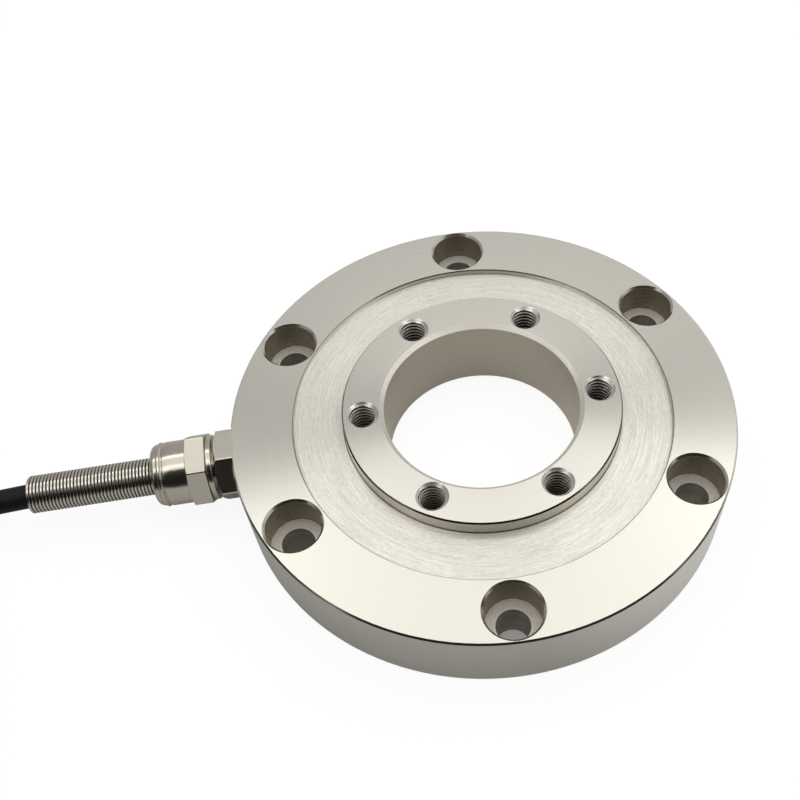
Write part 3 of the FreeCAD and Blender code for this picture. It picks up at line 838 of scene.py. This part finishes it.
cover.data.materials.append(finish("brushed_cover", brushed_cover, Metallic=1.0))
foil = finish("foil_gauge", foil_gauge)
for number in range(1, 5):
    dress(f"gauge_inner_{number}", foil)
    dress(f"gauge_outer_{number}", foil)
chip = finish("chip_resistor", cloudy((0.015, 0.015, 0.016), (0.04, 0.04, 0.042), 0.4, 3.0))
for number in range(1, 4):
    dress(f"trim_resistor_{number}", chip)
dress("terminal_board", finish("board_mask", board_mask))
dress("board_pad", finish("adhesive_pad", cloudy((0.10, 0.10, 0.11), (0.20, 0.20, 0.21), 0.8, 2.0)))
dress("gland_seal", finish("seal_rubber", cloudy((0.012, 0.012, 0.012), (0.03, 0.03, 0.03), 0.6, 2.0)))
dress("gland_washer", gland_plating)
for name in lead_names[:4]:
    deep = [0.7 * part for part in lead_colours[name]]
    dress("core_" + name, finish("core_" + name, cloudy(deep, lead_colours[name], 0.45, 3.0)))

# %% [markdown]
# ## Floor, room and light
# Polished metal shows the room more than itself. This one hangs three wide panels side by side under the
# ceiling, two bright ones and a milder one between them, in front of a pale wall, and leaves the room behind
# the camera dark. The near half of the lands then mirrors a bright panel and the far half the wall, and the
# gland shows two bright lines, and below them a dark band where it mirrors the dark of the room. The floor is
# pale, and for the camera it fades to white, while it still keeps the shadow. Under the ring the white is held
# back, a painted shadow, and in reflections the floor glows faintly and more towards the right, a painted
# light.

# %% Floor
floor_reach, floor_level = 4, -0.0002
corner_signs = [(-1, -1), (1, -1), (1, 1), (-1, 1)]
floor_corners = [(floor_reach * a, floor_reach * b, floor_level) for a, b in corner_signs]
floor_mesh = bpy.data.meshes.new("floor")
floor_mesh.from_pydata(floor_corners, [], [(0, 1, 2, 3)])
floor = bpy.data.objects.new("floor", floor_mesh)
bpy.context.scene.collection.objects.link(floor)

# %% Floor paint
floor_paint = bpy.data.materials.new("pale_floor")
floor_paint.use_nodes = True
floor_tree = floor_paint.node_tree
floor_tree.nodes.clear()
start = Wire(floor_tree)
paint = start.node("ShaderNodeBsdfDiffuse", None, {"Color": (0.60, 0.595, 0.58, 1)})
glow = start.node("ShaderNodeEmission", None, {"Strength": 1.2})
across, along = split(start.node("ShaderNodeTexCoord", None, None, "Object"))[:2]
# Where the ring stands, the white glow is held back: a painted shadow under the ring.
painted_shadow_under_ring = between(from_axis(across, along), 0.023, 0.0505, 0.001)    # in metres
seen = start.node("ShaderNodeLightPath", None, None, "Is Camera Ray")
mirrored = start.node("ShaderNodeLightPath", None, None, "Is Glossy Ray")
white_seen = seen * (0.76 - 0.62 * painted_shadow_under_ring)
# In reflections the floor glows, more towards the right: a painted light, held back under the ring.
mirrored_painted_light = mirrored * (0.06 + 0.3 * rise(across, 0.0, 0.05)) * (1 - 0.8 * painted_shadow_under_ring)
surface = start.node("ShaderNodeMixShader", None, {0: white_seen + mirrored_painted_light, 1: paint, 2: glow})
output = floor_tree.nodes.new("ShaderNodeOutputMaterial")
floor_tree.links.new(surface.socket, output.inputs["Surface"])
floor_mesh.materials.append(floor_paint)
print("pale_floor:", len(floor_tree.nodes), "nodes")

# %% Room
world = bpy.data.worlds.new("studio")
bpy.context.scene.world = world
world.use_nodes = True
room_tree = world.node_tree
room_tree.nodes.clear()
start = Wire(room_tree)
east, north, zenith = split(start.node("ShaderNodeTexCoord", None, None, "Generated"))
northward = north / from_axis(east, north)
dark_top = 0.24 + 0.76 * rise(0 - northward, 0.45, 0.8)     # up to the zenith behind the camera
dark_sides = fall(northward, 0.25, 0.5)
dark_part = dark_sides * rise(zenith, 0.0, 0.06) * fall(zenith, dark_top - 0.06, dark_top + 0.06)
wall = 0.472 + 0.19 * east
strength = wall * (1 - 0.965 * dark_part)
seen = start.node("ShaderNodeLightPath", None, None, "Is Camera Ray")
shown = strength * (1 - seen) + seen
glow = start.node("ShaderNodeBackground", None, {"Color": (1, 1, 1, 1), "Strength": shown})
output = room_tree.nodes.new("ShaderNodeOutputWorld")
room_tree.links.new(glow.socket, output.inputs["Surface"])
print("studio:", len(room_tree.nodes), "nodes")

# %% Lamps
panel_height, panel_width = 1.5, 2.75


def softbox(name, place_y, depth, radiance, degrees=0.0):
    """Rectangular lamp that hangs level and shines down; its power is radiance times pi times its area."""
    lamp = bpy.data.lights.new(name, "AREA")
    lamp.shape = "RECTANGLE"
    lamp.size = panel_width
    lamp.size_y = depth
    lamp.energy = radiance * np.pi * panel_width * depth
    panel = bpy.data.objects.new(name, lamp)
    bpy.context.scene.collection.objects.link(panel)
    hung = Matrix.Translation((0.0, place_y, panel_height))
    panel.matrix_world = hung @ Matrix.Rotation(np.radians(degrees), 4, "Z")
    print(f"{name}: {lamp.energy:.2f} W")


softbox("back_panel", place_y=0.763, depth=0.26, radiance=1.96, degrees=-2.6)
softbox("middle_panel", place_y=0.25, depth=0.80, radiance=0.58)
softbox("front_panel", place_y=-0.39, depth=0.48, radiance=1.35)

# %% [markdown]
# ## Colours
# The Standard view keeps colours as they are written. The dressed part has to stay inside the packed
# model's box.

# %% Colour view
bpy.context.scene.view_settings.view_transform = "Standard"
